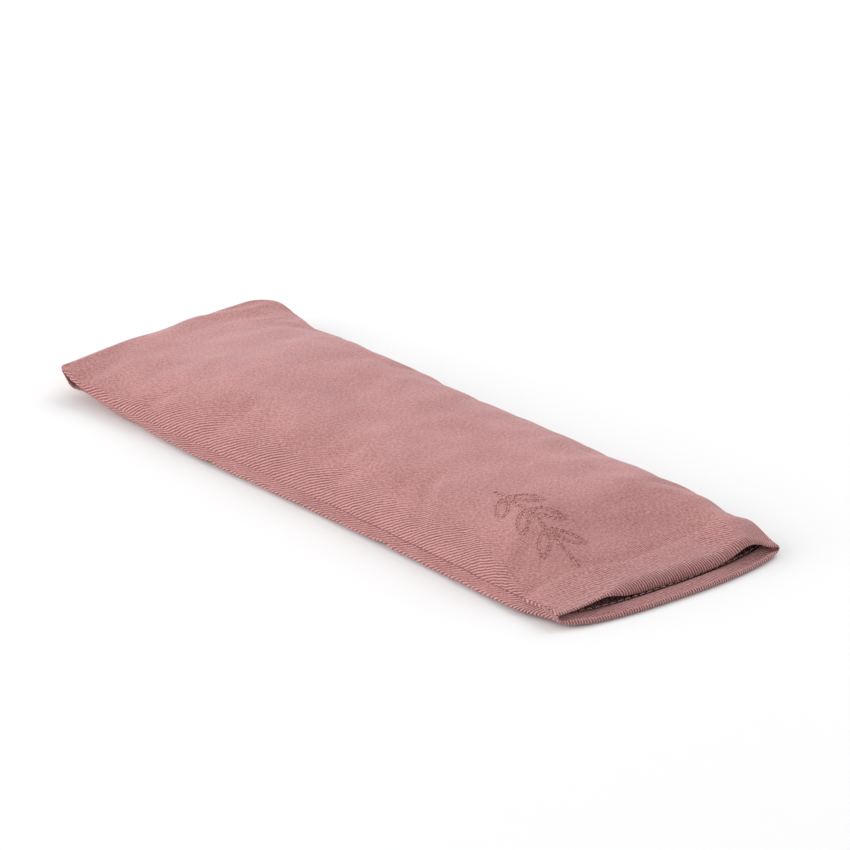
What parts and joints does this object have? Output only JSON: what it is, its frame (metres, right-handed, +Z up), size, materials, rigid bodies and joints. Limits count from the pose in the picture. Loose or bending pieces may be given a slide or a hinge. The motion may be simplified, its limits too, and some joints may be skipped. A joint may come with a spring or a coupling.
{
  "type": "eye pillow",
  "caption": "Slim seed-filled eye pillow in a removable open-ended sleeve of sewn cotton twill, with a hemmed mouth and a small embroidered sprig.",
  "frame": {"origin": "middle of the sleeve's outline, on the surface it lies on", "axes": "+X along the sleeve towards its open mouth, +Y towards the long side away from the embroidery, +Z up"},
  "size_m": [0.2581, 0.0928, 0.0196],
  "materials": {
    "rose_twill": "matt cotton twill, dusty rose",
    "rose_thread": "matt sewing thread",
    "mauve_thread": "satin embroidery thread",
    "natural_calico": "plain unbleached cotton",
    "natural_thread": "matt sewing thread",
    "linseed": "loose glossy brown seeds"
  },
  "bodies": {
    "sleeve": {"sleeve_top_panel": "rose_twill", "sleeve_bottom_panel": "rose_twill", "sleeve_seam_thread": "rose_thread", "top_hem_stitching": "rose_thread", "bottom_hem_stitching": "rose_thread", "near_seam_back_tack": "rose_thread", "far_seam_back_tack": "rose_thread", "embroidered_stem": "mauve_thread", "embroidered_leaf_near_1": "mauve_thread", "embroidered_leaf_near_2": "mauve_thread", "embroidered_leaf_near_3": "mauve_thread", "embroidered_leaf_far_1": "mauve_thread", "embroidered_leaf_far_2": "mauve_thread", "embroidered_leaf_far_3": "mauve_thread"},
    "inner_pillow": {"insert_top_panel": "natural_calico", "insert_bottom_panel": "natural_calico", "insert_seam_thread": "natural_thread", "insert_closing_stitch": "natural_thread", "seed_filling": "linseed"}
  },
  "joints": [
    {"name": "insert_slide", "type": "slide", "parent": "sleeve", "child": "inner_pillow", "axis": [1, 0, 0], "range_m": [0, 0.255], "deforming": ["sleeve_top_panel", "top_hem_stitching", "embroidered_stem", "embroidered_leaf_near_1", "embroidered_leaf_near_2", "embroidered_leaf_near_3", "embroidered_leaf_far_1", "embroidered_leaf_far_2", "embroidered_leaf_far_3"]}
  ]
}
